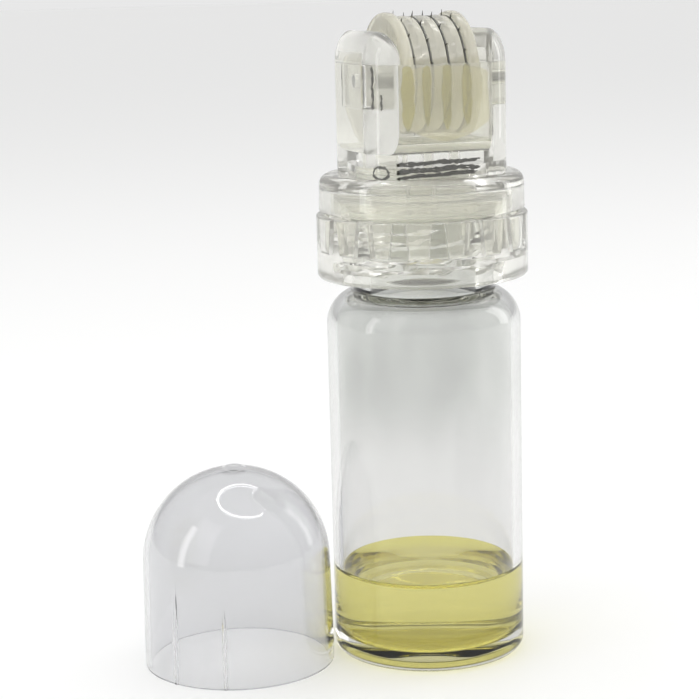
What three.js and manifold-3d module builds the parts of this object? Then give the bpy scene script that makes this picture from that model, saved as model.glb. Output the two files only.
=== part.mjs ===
// A derma roller bottle: a glass vial of serum, a clear roller head held on the vial's neck by a
// screw collar, a drum of needle discs that turns on a steel axle, and a domed cap that stands beside it.
// Millimetres, +Z up. The origin is the centre of the vial's flat base, and +X runs along the drum's axle.
import * as THREE from "three";
import { mergeVertices } from "three/addons/utils/BufferGeometryUtils.js";
import Module from "manifold-3d";

const wasm = await Module();
wasm.setup();

// ---------------------------------------------------------------- driving dimensions
const SEGMENTS = 36; // flats round a turned piece
const SLIP = 0.1; // clearance of a piece pushed into another
const RUNNING = 0.3; // clearance between pieces that move past each other
const OVERCUT = 1; // how far a cutting solid runs past what it cuts

// glass vial
const VIAL_RADIUS = 11;
const VIAL_HEIGHT = 42.4; // base to shoulder
const VIAL_WALL = 1.1;
const VIAL_FLOOR = 1.6;
const HEEL_RADIUS = 2.4;
const SHOULDER_RADIUS = 4;
const NECK_RADIUS = 8;
const NECK_WALL = 2;
const NECK_LENGTH = 8.1; // shoulder to mouth
const SERUM_DEPTH = 7.6;
const MENISCUS = 1;

// screw thread
const THREAD_PITCH = 3.175;
const THREAD_HEIGHT = 0.8;
const THREAD_ROOT_WIDTH = 1.3;
const THREAD_TIP_WIDTH = 0.7;
const THREAD_TURNS = 1.25;
const THREAD_LIFT = 2.9; // shoulder to the start of the thread

// screw collar
const COLLAR_LIFT = 1.3; // shoulder to the collar's bottom edge
const COLLAR_HEIGHT = 7.2;
const COLLAR_WALL = 0.9;
const COLLAR_EDGE = 0.5;
const SLEEVE_WALL = 0.8;
const POCKET_WIDTH = 1.1;
const POCKET_DEPTH = 4.1;
const POCKET_COUNT = 16;
const RIB_ANGLE = 9; // degrees of solid between two pockets
const LIP_THICKNESS = 0.8;

// pieces between the vial's mouth and the head
const GASKET_THICKNESS = 1;
const GASKET_OVERHANG = 0.2;
const PLUG_RIM_GAP = 0.5;
const PLUG_RIM_THICKNESS = 0.9;
const PLUG_SKIRT_LENGTH = 4;
const PLUG_SKIRT_WALL = 1.4;
const SPIGOT_RADIUS = 6.2;
const SPIGOT_LENGTH = 3.8;
const FEED_RADIUS = 1.2;
const DRIP_HOLE_RADIUS = 0.5;
const DRIP_WALL = 0.9;
const SEAL_SECTION = 0.5; // radius of the O-ring's section
const SEAL_SIDES = 8;

// roller head
const HEAD_RING_INSET = 0.3; // how far the head's ring stands in from the collar
const HEAD_RING_EDGE = 1.2;
const HEAD_ROOF = 1.6;
const ARM_THICKNESS = 2.95;
const ARM_PROUD = 0.25; // how far the arms stand proud of the walls
const ARM_CAP_HEIGHT = 3.85; // of the two roundings' full height, which meet lower down
const ARM_CAP_ROUND = 3.2; // radius of the cap's outer edge
const ARM_CAP_INNER_WIDTH = 1.8; // the inner edge is rounded as a quarter of an ellipse
const ARM_CAP_INNER_HEIGHT = 3.2;
const BLOCK_CORNER = 4.5;
const WALL_RISE = 1.9; // axle to the top of the walls
const TROUGH_WALL = 0.6;
const TROUGH_FLOOR = 1.45;
const TROUGH_CORNER = 3; // radius between the trough's floor and its walls
const OUTLET_RADIUS = 0.6;
const OUTLET_SPACING = 2.8;
const OUTLET_COUNT = 3;

// axle and its bushes
const AXLE_RADIUS = 0.8;
const AXLE_CLEARANCE = 0.05;
const BUSH_WALL = 2.1;
const BUSH_THICKNESS = 1.6;
const BUSH_CORNER = 0.5;

// drum
const CORE_WALL = 1.35;
const NEEDLE_DISC_COUNT = 4;
const NEEDLE_DISC_PITCH = 2;
const NEEDLE_DISC_THICKNESS = 0.2;
const NEEDLES_PER_DISC = 16;
const NEEDLE_WIDTH = 0.2;
const NEEDLE_LENGTH = 0.6;
const DRUM_RADIUS = 6.95;
const SPACER_EDGE = 0.12;
const END_DISC_RISE = 0.45; // how far the end discs stand above the spacers
const END_DISC_THICKNESS = 1.4;
const END_DISC_EDGE = 0.5;
const END_PLAY = 0.8; // end disc to arm

// domed cap
const CAP_CLEARANCE = 0.25; // round the head's corners when the cap is on
const CAP_TAPER = 0.2;
const CAP_WALL = 0.6;
const CAP_SIDE_HEIGHT = 12;
const CAP_GATE_RADIUS = 1.3;
const CAP_GATE_HEIGHT = 0.25;
const CAP_STANDOFF = 0.36; // cap to vial as it stands
const CAP_BEARING = 171.2; // degrees from +X to where it stands

// ---------------------------------------------------------------- sizes that follow from them
const vialBore = VIAL_RADIUS - VIAL_WALL;
const mouthRadius = NECK_RADIUS - NECK_WALL;
const collarBore = NECK_RADIUS + THREAD_HEIGHT + RUNNING;
const sleeveRadius = collarBore + SLEEVE_WALL;
const pocketRadius = sleeveRadius + POCKET_WIDTH;
const collarRadius = pocketRadius + COLLAR_WALL;
const gasketRadius = NECK_RADIUS + GASKET_OVERHANG;
const plugRimRadius = collarBore - PLUG_RIM_GAP;
const skirtRadius = mouthRadius - 2 * SLIP;
const skirtBore = skirtRadius - PLUG_SKIRT_WALL;
const headRingRadius = collarRadius - HEAD_RING_INSET;
const needleTip = DRUM_RADIUS + NEEDLE_LENGTH;
const endDiscRadius = DRUM_RADIUS + END_DISC_RISE;
const troughRadius = Math.max(needleTip, endDiscRadius) + RUNNING;
const needleStack = (NEEDLE_DISC_COUNT - 1) * NEEDLE_DISC_PITCH + NEEDLE_DISC_THICKNESS;
const drumGap = needleStack + 2 * (END_DISC_THICKNESS + END_PLAY);
const coreRadius = AXLE_RADIUS + AXLE_CLEARANCE + CORE_WALL;
const coreLength = drumGap - 2 * RUNNING;
const bushRadius = AXLE_RADIUS + BUSH_WALL;
const axleLength = drumGap + 2 * (BUSH_THICKNESS - SLIP);
const blockLengthX = drumGap + 2 * ARM_THICKNESS;
const wallLengthY = 2 * (troughRadius + TROUGH_WALL);
const blockLengthY = wallLengthY + 2 * ARM_PROUD;
const blockCornerX = blockLengthX / 2 - BLOCK_CORNER;
const blockCornerY = blockLengthY / 2 - BLOCK_CORNER;
const capBore = Math.hypot(blockCornerX, blockCornerY) + BLOCK_CORNER + CAP_CLEARANCE;
const capRadius = capBore + CAP_WALL;
const capDomeRadius = capRadius - CAP_TAPER;

// heights above the vial's base
const mouthZ = VIAL_HEIGHT + NECK_LENGTH;
const threadStartZ = VIAL_HEIGHT + THREAD_LIFT;
const collarBottomZ = VIAL_HEIGHT + COLLAR_LIFT;
const collarTopZ = collarBottomZ + COLLAR_HEIGHT;
const pocketFloorZ = collarTopZ - POCKET_DEPTH;
const gasketTopZ = mouthZ + GASKET_THICKNESS;
const rimTopZ = gasketTopZ + PLUG_RIM_THICKNESS;
const skirtBottomZ = mouthZ - PLUG_SKIRT_LENGTH;
const lipBottomZ = rimTopZ + RUNNING;
const lipTopZ = lipBottomZ + LIP_THICKNESS;
const headCeilingZ = lipTopZ + RUNNING;
const headRingTopZ = headCeilingZ + HEAD_ROOF;
const spigotTopZ = rimTopZ + SPIGOT_LENGTH;
const spigotBoreTopZ = spigotTopZ + 2 * SLIP;
const sealZ = (headCeilingZ + spigotTopZ) / 2;
const axleZ = spigotBoreTopZ + TROUGH_FLOOR + troughRadius;
const wallTopZ = axleZ + WALL_RISE;
const blockTopZ = wallTopZ + ARM_CAP_HEIGHT;

// ---------------------------------------------------------------- solids
function solidOf(geometry) {
  const bare = geometry.clone();
  bare.deleteAttribute("normal");
  bare.deleteAttribute("uv");
  const merged = mergeVertices(bare, 1e-5);
  return new wasm.Manifold(
    new wasm.Mesh({
      numProp: 3,
      vertProperties: merged.attributes.position.array,
      triVerts: new Uint32Array(merged.index.array),
    }),
  );
}

function geometryOf(solid) {
  const mesh = solid.getMesh();
  return new THREE.BufferGeometry()
    .setAttribute("position", new THREE.BufferAttribute(mesh.vertProperties, 3))
    .setIndex(new THREE.BufferAttribute(mesh.triVerts, 1));
}

// Points of an arc in a profile, [radius, height], from one angle to another in degrees.
function arc(centreR, centreZ, radius, from, to, steps = 5) {
  return Array.from({ length: steps + 1 }, (_, i) => {
    const a = THREE.MathUtils.degToRad(from + ((to - from) * i) / steps);
    return [centreR + radius * Math.cos(a), centreZ + radius * Math.sin(a)];
  });
}

// A turned piece about +Z from a profile of [radius, height] points, run anticlockwise:
// up the outside and down the inside. It starts and ends on the axis, or closes on itself.
function turned(profile, segments = SEGMENTS) {
  const onAxis = profile[0][0] === 0;
  const closed = onAxis ? profile : [...profile, profile[0]];
  const points = closed.map(([r, z]) => new THREE.Vector2(r, z));
  return new THREE.LatheGeometry(points, segments).rotateX(Math.PI / 2);
}

// A tube about +Z with square ends.
function tube(outer, inner, bottom, top, segments = SEGMENTS) {
  return turned([[inner, bottom], [outer, bottom], [outer, top], [inner, top]], segments);
}

function cylinder(radius, bottom, top, segments = SEGMENTS) {
  return turned([[0, bottom], [radius, bottom], [radius, top], [0, top]], segments);
}

function box(low, high) {
  const size = high.map((value, i) => value - low[i]);
  const middle = high.map((value, i) => (value + low[i]) / 2);
  return new THREE.BoxGeometry(...size).translate(...middle);
}

// Turns a piece made about +Z so that it lies about the axle.
function aboutAxle(geometry) {
  return geometry.rotateY(Math.PI / 2).translate(0, 0, axleZ);
}

// A closed skin over a stack of rings that all have the same number of points.
function skinned(rings) {
  const count = rings[0].length;
  const positions = rings.flat(2);
  const index = [];
  for (let level = 0; level + 1 < rings.length; level++) {
    for (let i = 0; i < count; i++) {
      const a = level * count + i;
      const b = level * count + ((i + 1) % count);
      index.push(a, b, b + count, a, b + count, a + count);
    }
  }
  const last = (rings.length - 1) * count;
  for (let i = 1; i + 1 < count; i++) {
    index.push(0, i + 1, i, last, last + i, last + i + 1);
  }
  return new THREE.BufferGeometry()
    .setAttribute("position", new THREE.Float32BufferAttribute(positions, 3))
    .setIndex(index);
}

// A rounded rectangle about the Z axis, as a ring at one height, drawn in from the block's sides.
function blockRing(z, inset = 0) {
  const corners = [[1, 1], [-1, 1], [-1, -1], [1, -1]];
  return corners.flatMap(([sx, sy], quarter) =>
    arc(0, 0, BLOCK_CORNER - inset, quarter * 90, quarter * 90 + 90).map(([x, y]) => [
      sx * blockCornerX + x,
      sy * blockCornerY + y,
      z,
    ]),
  );
}

// A helical ridge from a radius it roots in to the radius of its tip, right-handed about +Z.
function threadRidge(rootRadius, tipRadius, startZ, startAngle, turns) {
  const steps = Math.round(turns * 32);
  const rings = Array.from({ length: steps + 1 }, (_, i) => {
    const turn = (turns * i) / steps;
    const angle = startAngle + 2 * Math.PI * turn;
    const z = startZ + THREAD_PITCH * turn;
    const section = [
      [rootRadius, -THREAD_ROOT_WIDTH / 2],
      [tipRadius, -THREAD_TIP_WIDTH / 2],
      [tipRadius, THREAD_TIP_WIDTH / 2],
      [rootRadius, THREAD_ROOT_WIDTH / 2],
    ];
    if (tipRadius < rootRadius) section.reverse();
    return section.map(([r, dz]) => [r * Math.cos(angle), r * Math.sin(angle), z + dz]);
  });
  return skinned(rings.reverse());
}

// ---------------------------------------------------------------- vial and serum
function glassVial() {
  const innerHeel = HEEL_RADIUS - VIAL_WALL / 2;
  const innerShoulder = SHOULDER_RADIUS - VIAL_WALL / 2;
  const shoulderBottom = VIAL_HEIGHT - SHOULDER_RADIUS;
  const roof = VIAL_HEIGHT - VIAL_WALL;
  const body = turned([
    [0, 0],
    ...arc(VIAL_RADIUS - HEEL_RADIUS, HEEL_RADIUS, HEEL_RADIUS, -90, 0),
    ...arc(VIAL_RADIUS - SHOULDER_RADIUS, shoulderBottom, SHOULDER_RADIUS, 0, 90)
      .filter(([r]) => r > NECK_RADIUS),
    [NECK_RADIUS, VIAL_HEIGHT - 0.1],
    [NECK_RADIUS, mouthZ],
    [mouthRadius, mouthZ],
    [mouthRadius, roof],
    ...arc(vialBore - innerShoulder, roof - innerShoulder, innerShoulder, 90, 0)
      .filter(([r]) => r > mouthRadius + SLIP),
    ...arc(vialBore - innerHeel, VIAL_FLOOR + innerHeel, innerHeel, 0, -90),
    [0, VIAL_FLOOR],
  ]);
  const ridge = threadRidge(
    NECK_RADIUS - VIAL_WALL / 2,
    NECK_RADIUS + THREAD_HEIGHT,
    threadStartZ,
    0,
    THREAD_TURNS,
  );
  return solidOf(body).add(solidOf(ridge));
}

function serumFill() {
  const radius = vialBore - SLIP;
  const bottom = VIAL_FLOOR + SLIP;
  const heel = HEEL_RADIUS - VIAL_WALL / 2;
  const surface = VIAL_FLOOR + SERUM_DEPTH;
  return solidOf(
    turned([
      [0, bottom],
      ...arc(radius - heel, bottom + heel, heel, -90, 0),
      [radius, surface + MENISCUS],
      ...arc(radius - MENISCUS, surface + MENISCUS, MENISCUS, 0, -90, 4).slice(1),
      [0, surface],
    ]),
  );
}

// ---------------------------------------------------------------- collar
function pocket(turn) {
  const half = THREE.MathUtils.degToRad((360 / POCKET_COUNT - RIB_ANGLE) / 2);
  const outline = new THREE.Shape();
  outline.absarc(0, 0, pocketRadius, turn - half, turn + half, false);
  outline.absarc(0, 0, sleeveRadius, turn + half, turn - half, true);
  const depth = collarTopZ - pocketFloorZ + OVERCUT;
  const geometry = new THREE.ExtrudeGeometry(outline, { depth, bevelEnabled: false, curveSegments: 2 });
  return geometry.translate(0, 0, pocketFloorZ);
}

function screwCollar() {
  const lipBore = SPIGOT_RADIUS + RUNNING;
  let collar = solidOf(
    turned([
      [collarBore, collarBottomZ],
      ...arc(collarRadius - COLLAR_EDGE, collarBottomZ + COLLAR_EDGE, COLLAR_EDGE, -90, 0, 3),
      [collarRadius, collarTopZ],
      [sleeveRadius, collarTopZ],
      [sleeveRadius, lipTopZ],
      [lipBore, lipTopZ],
      [lipBore, lipBottomZ],
      [collarBore, lipBottomZ],
    ]),
  );
  for (let i = 0; i < POCKET_COUNT; i++) {
    collar = collar.subtract(solidOf(pocket((2 * Math.PI * i) / POCKET_COUNT)));
  }
  const ridge = threadRidge(
    collarBore + SLEEVE_WALL / 2,
    collarBore - THREAD_HEIGHT,
    threadStartZ,
    -Math.PI,
    THREAD_TURNS,
  );
  return collar.add(solidOf(ridge));
}

// ---------------------------------------------------------------- feed and seals
function basePlug() {
  const groove = SPIGOT_RADIUS - SEAL_SECTION;
  return solidOf(
    turned([
      [skirtBore, skirtBottomZ],
      [skirtRadius, skirtBottomZ],
      [skirtRadius, gasketTopZ],
      [plugRimRadius, gasketTopZ],
      [plugRimRadius, rimTopZ],
      [SPIGOT_RADIUS, rimTopZ],
      [SPIGOT_RADIUS, sealZ - SEAL_SECTION - SLIP],
      [groove, sealZ - SEAL_SECTION - SLIP],
      [groove, sealZ + SEAL_SECTION + SLIP],
      [SPIGOT_RADIUS, sealZ + SEAL_SECTION + SLIP],
      [SPIGOT_RADIUS, spigotTopZ],
      [FEED_RADIUS, spigotTopZ],
      [FEED_RADIUS, gasketTopZ],
      [skirtBore, gasketTopZ],
    ]),
  );
}

function mouthGasket() {
  return solidOf(tube(gasketRadius, skirtRadius + SLIP, mouthZ, gasketTopZ));
}

// The spigot's O-ring, squeezed between the floor of its groove and the bore around it.
function spigotSeal() {
  const inner = SPIGOT_RADIUS - SEAL_SECTION + SLIP / 2;
  const outer = SPIGOT_RADIUS + SLIP / 2;
  const middle = (inner + outer) / 2;
  const section = Array.from({ length: SEAL_SIDES }, (_, i) => {
    const a = (2 * Math.PI * i) / SEAL_SIDES;
    return [middle + ((outer - inner) / 2) * Math.cos(a), sealZ + SEAL_SECTION * Math.sin(a)];
  });
  return solidOf(turned(section));
}

function dripInsert() {
  const radius = skirtBore - SLIP;
  const top = gasketTopZ - SLIP;
  return solidOf(
    turned([
      [radius - DRIP_WALL, skirtBottomZ],
      [radius, skirtBottomZ],
      [radius, top],
      [DRIP_HOLE_RADIUS, top],
      [DRIP_HOLE_RADIUS, top - DRIP_WALL],
      [radius - DRIP_WALL, top - DRIP_WALL],
    ]),
  );
}

// ---------------------------------------------------------------- head
// The upright block under the arms' caps, from inside the ring up to a given height.
function headBlock(top) {
  return solidOf(skinned([headRingTopZ - OVERCUT, top].map((z) => blockRing(z))));
}

function headRing() {
  const edge = HEAD_RING_EDGE;
  const bottom = collarTopZ + RUNNING;
  return solidOf(
    turned([
      [0, headCeilingZ],
      [sleeveRadius + RUNNING, headCeilingZ],
      [sleeveRadius + RUNNING, bottom],
      [headRingRadius, bottom],
      ...arc(headRingRadius - edge, headRingTopZ - edge, edge, 0, 90, 4),
      [0, headRingTopZ],
    ]),
  );
}

// A slab across X with straight sides and a flat foot, whose lower corners are rounded.
function slot(halfWidth, low, high, corner, startX, endX) {
  const outline = new THREE.Shape()
    .moveTo(-halfWidth, high)
    .lineTo(-halfWidth, low + corner)
    .absarc(corner - halfWidth, low + corner, corner, Math.PI, 1.5 * Math.PI)
    .lineTo(halfWidth - corner, low)
    .absarc(halfWidth - corner, low + corner, corner, 1.5 * Math.PI, 2 * Math.PI)
    .lineTo(halfWidth, high);
  const slab = new THREE.ExtrudeGeometry(outline, {
    depth: endX - startX,
    bevelEnabled: false,
    curveSegments: 6,
  });
  return solidOf(slab.rotateX(Math.PI / 2).rotateZ(Math.PI / 2).translate(startX, 0, 0));
}

// The open space between the arms: a trough between thin walls.
function troughCutter() {
  const half = drumGap / 2;
  const floorZ = axleZ - troughRadius;
  return slot(troughRadius, floorZ, wallTopZ + OVERCUT, TROUGH_CORNER, -half, half);
}

// The walls' outer faces lie back from the arms, so this is cut away on both sides.
function wallSetback(side) {
  const half = drumGap / 2;
  const [low, high] = [wallLengthY / 2, wallLengthY / 2 + OVERCUT].map((y) => side * y).sort((a, b) => a - b);
  return solidOf(box([-half, low, headRingTopZ], [half, high, wallTopZ + OVERCUT]));
}

// A bush stands in its arm with one face to the drum.
function bushSolid(side, halfWidth, thickness, top) {
  const inner = drumGap / 2;
  const startX = side < 0 ? -inner - thickness : inner;
  return slot(halfWidth, axleZ - halfWidth, top, BUSH_CORNER, startX, startX + thickness);
}

// The pocket in an arm's inner face that a bush drops into from above.
function bushPocket(side) {
  return bushSolid(side, bushRadius + SLIP, BUSH_THICKNESS + SLIP, wallTopZ + OVERCUT);
}

function axleBush(side) {
  const reach = axleLength / 2 + OVERCUT;
  const bore = cylinder(AXLE_RADIUS + AXLE_CLEARANCE, -reach, reach, 24);
  const bush = bushSolid(side, bushRadius, BUSH_THICKNESS, wallTopZ - SLIP);
  return bush.subtract(solidOf(aboutAxle(bore)));
}

// The top of an arm, which holds the bush down in its pocket. It is a dome that is rounded along
// the block's sides with one radius, and along the drum with a quarter of an ellipse.
function armCap(side) {
  const inner = drumGap / 2;
  const outer = blockLengthX / 2;
  const depth = blockLengthY + 2 * OVERCUT;
  const rounding = arc(ARM_CAP_ROUND, blockTopZ - ARM_CAP_ROUND, ARM_CAP_ROUND, 180, 90);
  const rings = rounding.map(([inset, z]) => blockRing(z, inset));
  const dome = solidOf(skinned([blockRing(wallTopZ), ...rings]));
  const roundX = side * (inner + ARM_CAP_INNER_WIDTH);
  const roundZ = ARM_CAP_HEIGHT - ARM_CAP_INNER_HEIGHT;
  const [start, end] = side < 0 ? [0, Math.PI / 2] : [Math.PI, Math.PI / 2];
  const section = new THREE.Shape()
    .moveTo(side * outer, 0)
    .lineTo(side * inner, 0)
    .absellipse(roundX, roundZ, ARM_CAP_INNER_WIDTH, ARM_CAP_INNER_HEIGHT, start, end, side > 0)
    .lineTo(side * outer, ARM_CAP_HEIGHT);
  const arm = new THREE.ExtrudeGeometry(section, { depth, bevelEnabled: false, curveSegments: 10 });
  arm.rotateX(Math.PI / 2).translate(0, depth / 2, wallTopZ);
  return dome.intersect(solidOf(arm));
}

function headBody() {
  const bore = cylinder(SPIGOT_RADIUS + SLIP, headCeilingZ - OVERCUT, spigotBoreTopZ);
  let head = headRing()
    .add(headBlock(wallTopZ))
    .subtract(troughCutter())
    .subtract(wallSetback(-1))
    .subtract(wallSetback(1))
    .subtract(bushPocket(-1))
    .subtract(bushPocket(1))
    .subtract(solidOf(bore));
  for (let i = 0; i < OUTLET_COUNT; i++) {
    const x = (i - (OUTLET_COUNT - 1) / 2) * OUTLET_SPACING;
    const outlet = cylinder(OUTLET_RADIUS, spigotBoreTopZ - OVERCUT, axleZ, 12).translate(x, 0, 0);
    head = head.subtract(solidOf(outlet));
  }
  return head;
}

// ---------------------------------------------------------------- drum
function axle() {
  return solidOf(aboutAxle(cylinder(AXLE_RADIUS, -axleLength / 2, axleLength / 2, 24)));
}

function drumCore() {
  const bore = AXLE_RADIUS + AXLE_CLEARANCE;
  return solidOf(aboutAxle(tube(coreRadius, bore, -coreLength / 2, coreLength / 2, 24)));
}

// A clear ring with softened rims, at a place along the axle.
function ringOnCore(radius, low, high, edge, steps) {
  return solidOf(
    aboutAxle(
      turned([
        [coreRadius + AXLE_CLEARANCE, low],
        ...arc(radius - edge, low + edge, edge, -90, 0, steps),
        ...arc(radius - edge, high - edge, edge, 0, 90, steps),
        [coreRadius + AXLE_CLEARANCE, high],
      ]),
    ),
  );
}

const discPlace = (i) => (i - (NEEDLE_DISC_COUNT - 1) / 2) * NEEDLE_DISC_PITCH;

function spacer(i) {
  const half = NEEDLE_DISC_THICKNESS / 2;
  return ringOnCore(DRUM_RADIUS, discPlace(i) + half, discPlace(i + 1) - half, SPACER_EDGE, 1);
}

function endDisc(side) {
  const inner = (side * needleStack) / 2;
  const outer = inner + side * END_DISC_THICKNESS;
  return ringOnCore(
    endDiscRadius,
    Math.min(inner, outer),
    Math.max(inner, outer),
    END_DISC_EDGE,
    2,
  );
}

// A thin steel disc with needles cut in its rim. Each disc is turned a quarter of a needle's pitch on
// from the one before it, so that the needles run in a slow spiral along the drum.
function needleDisc(i) {
  const pitch = (2 * Math.PI) / NEEDLES_PER_DISC;
  const phase = (pitch * i) / NEEDLE_DISC_COUNT;
  const rim = DRUM_RADIUS - SPACER_EDGE;
  const half = NEEDLE_WIDTH / 2 / rim;
  const at = (radius, angle) => new THREE.Vector2(radius * Math.cos(angle), radius * Math.sin(angle));
  const points = [];
  for (let n = 0; n < NEEDLES_PER_DISC; n++) {
    const middle = phase + n * pitch;
    points.push(at(rim, middle - half), at(needleTip, middle), at(rim, middle + half));
    points.push(at(rim, middle + pitch / 2));
  }
  const outline = new THREE.Shape(points);
  outline.holes.push(new THREE.Path().absarc(0, 0, coreRadius + AXLE_CLEARANCE, 0, 2 * Math.PI, true));
  const plate = new THREE.ExtrudeGeometry(outline, {
    depth: NEEDLE_DISC_THICKNESS,
    bevelEnabled: false,
    curveSegments: 12,
  });
  plate.translate(0, 0, discPlace(i) - NEEDLE_DISC_THICKNESS / 2);
  return solidOf(aboutAxle(plate));
}

// ---------------------------------------------------------------- cap
function domeCap() {
  const dome = arc(0, CAP_SIDE_HEIGHT, capDomeRadius, 0, 90, 9);
  const inside = arc(0, CAP_SIDE_HEIGHT, capDomeRadius - CAP_WALL, 90, 0, 9);
  const top = CAP_SIDE_HEIGHT + capDomeRadius;
  const cap = solidOf(
    turned([
      [0, top - CAP_WALL],
      ...inside.slice(1),
      [capRadius - CAP_WALL, 0],
      [capRadius, 0],
      ...dome.slice(0, -1),
      [0, top],
    ]),
  );
  const gate = cylinder(CAP_GATE_RADIUS, top - CAP_WALL / 2, top + CAP_GATE_HEIGHT, 16);
  return cap.add(solidOf(gate));
}

// ---------------------------------------------------------------- assembly
const finish = (color, roughness, metalness = 0, opacity = 1) =>
  new THREE.MeshStandardMaterial({ color, roughness, metalness, opacity, transparent: opacity < 1 });

const glass = finish(0xdfe4e0, 0.02, 0, 0.35);
const clearPlastic = finish(0xe4e5df, 0.08, 0, 0.4);
const tintedPlastic = finish(0xdedcc0, 0.1, 0, 0.5);
const serum = finish(0xc2bf66, 0.02, 0, 0.7);
const silicone = finish(0xe8e8e2, 0.5, 0, 0.8);
const steel = finish(0x6f7068, 0.3, 1);

const roller = new THREE.Group();

function addPiece(name, solid, material, place = [0, 0, 0]) {
  const mesh = new THREE.Mesh(geometryOf(solid), material);
  mesh.name = name;
  mesh.position.set(...place);
  roller.add(mesh);
}

addPiece("glass_vial", glassVial(), glass);
addPiece("serum_fill", serumFill(), serum);
addPiece("screw_collar", screwCollar(), clearPlastic);
addPiece("mouth_gasket", mouthGasket(), silicone);
addPiece("base_plug", basePlug(), clearPlastic);
addPiece("drip_insert", dripInsert(), silicone);
addPiece("spigot_seal", spigotSeal(), silicone);
addPiece("head_body", headBody(), clearPlastic);
addPiece("arm_cap_left", armCap(-1), clearPlastic);
addPiece("arm_cap_right", armCap(1), clearPlastic);
addPiece("axle_bush_left", axleBush(-1), tintedPlastic);
addPiece("axle_bush_right", axleBush(1), tintedPlastic);
addPiece("axle", axle(), steel);
addPiece("drum_core", drumCore(), tintedPlastic);
addPiece("end_disc_left", endDisc(-1), tintedPlastic);
addPiece("end_disc_right", endDisc(1), tintedPlastic);
for (let i = 0; i + 1 < NEEDLE_DISC_COUNT; i++) {
  addPiece(`spacer_disc_${i + 1}`, spacer(i), tintedPlastic);
}
for (let i = 0; i < NEEDLE_DISC_COUNT; i++) {
  addPiece(`needle_disc_${i + 1}`, needleDisc(i), steel);
}
const bearing = THREE.MathUtils.degToRad(CAP_BEARING);
const capAway = VIAL_RADIUS + capRadius + CAP_STANDOFF;
const capPlace = [capAway * Math.cos(bearing), capAway * Math.sin(bearing), 0];
addPiece("dome_cap", domeCap(), clearPlastic, capPlace);

export default roller;
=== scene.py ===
import math

import bmesh
import bpy
import numpy as np
from bpy.props import FloatProperty, FloatVectorProperty, IntProperty, PointerProperty
from mathutils import Matrix, Vector


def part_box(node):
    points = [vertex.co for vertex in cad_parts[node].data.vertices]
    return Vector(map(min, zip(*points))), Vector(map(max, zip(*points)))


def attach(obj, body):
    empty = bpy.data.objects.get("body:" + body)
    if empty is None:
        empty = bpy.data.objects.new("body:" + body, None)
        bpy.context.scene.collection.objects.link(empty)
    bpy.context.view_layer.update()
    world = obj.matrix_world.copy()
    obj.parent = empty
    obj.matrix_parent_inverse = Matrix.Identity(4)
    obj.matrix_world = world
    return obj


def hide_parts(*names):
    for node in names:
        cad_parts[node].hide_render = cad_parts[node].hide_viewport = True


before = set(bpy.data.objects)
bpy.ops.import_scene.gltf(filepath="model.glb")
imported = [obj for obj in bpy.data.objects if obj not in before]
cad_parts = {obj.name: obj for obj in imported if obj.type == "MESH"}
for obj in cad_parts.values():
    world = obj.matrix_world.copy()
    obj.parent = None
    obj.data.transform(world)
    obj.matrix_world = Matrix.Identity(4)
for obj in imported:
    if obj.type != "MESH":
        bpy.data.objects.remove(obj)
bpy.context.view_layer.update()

bl_info = {
    "name": "Derma roller bottle",
    "version": (1, 0, 0),
    "blender": (4, 5, 0),
    "location": "3D View > Sidebar > Derma roller",
    "description": "A serum vial with a clear needle-roller head and a domed cap",
    "category": "Object",
}

MM = 0.001
TAU = 2 * math.pi
TURNS = 160  # steps round a turned piece
SHARP = math.radians(32)  # edges bent more than this stay crisp
STRAIGHT = 1e-6  # how far two sides may be from one line and still count as straight


# ---------------------------------------------------------------- sizes and colours
def length(name, description, default):
    return FloatProperty(name=name, description=description, default=default, unit="LENGTH", precision=5)


def colour(name, description, default):
    return FloatVectorProperty(
        name=name, description=description, default=default, size=3, subtype="COLOR", min=0, max=1
    )


class VialSizes(bpy.types.PropertyGroup):
    """Walls and curves of the glass vial and the serum in it."""

    wall: length("Wall", "Thickness of the glass", 1.1 * MM)
    floor: length("Floor", "Thickness of the glass under the serum", 1.6 * MM)
    punt: length("Punt", "Rise of the middle of the base", 0.5 * MM)
    heel: length("Heel", "Radius round the foot", 2.4 * MM)
    shoulder: length("Shoulder", "Radius of the shoulder", 4.0 * MM)
    height: length("Height", "Base to shoulder", 42.4 * MM)
    neck_radius: length("Neck radius", "Outer radius of the neck", 8.0 * MM)
    neck_wall: length("Neck wall", "Thickness of the neck", 2.0 * MM)
    thread_pitch: length("Thread pitch", "Rise of the thread in one turn", 3.175 * MM)
    thread_height: length("Thread height", "Height of the thread's ridge", 0.8 * MM)
    thread_lift: length("Thread lift", "Shoulder to the start of the thread", 2.9 * MM)
    thread_turns: FloatProperty(name="Thread turns", description="Turns of thread on the neck", default=1.25)
    meniscus: length("Meniscus", "Rise of the serum at the glass", 0.9 * MM)


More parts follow.
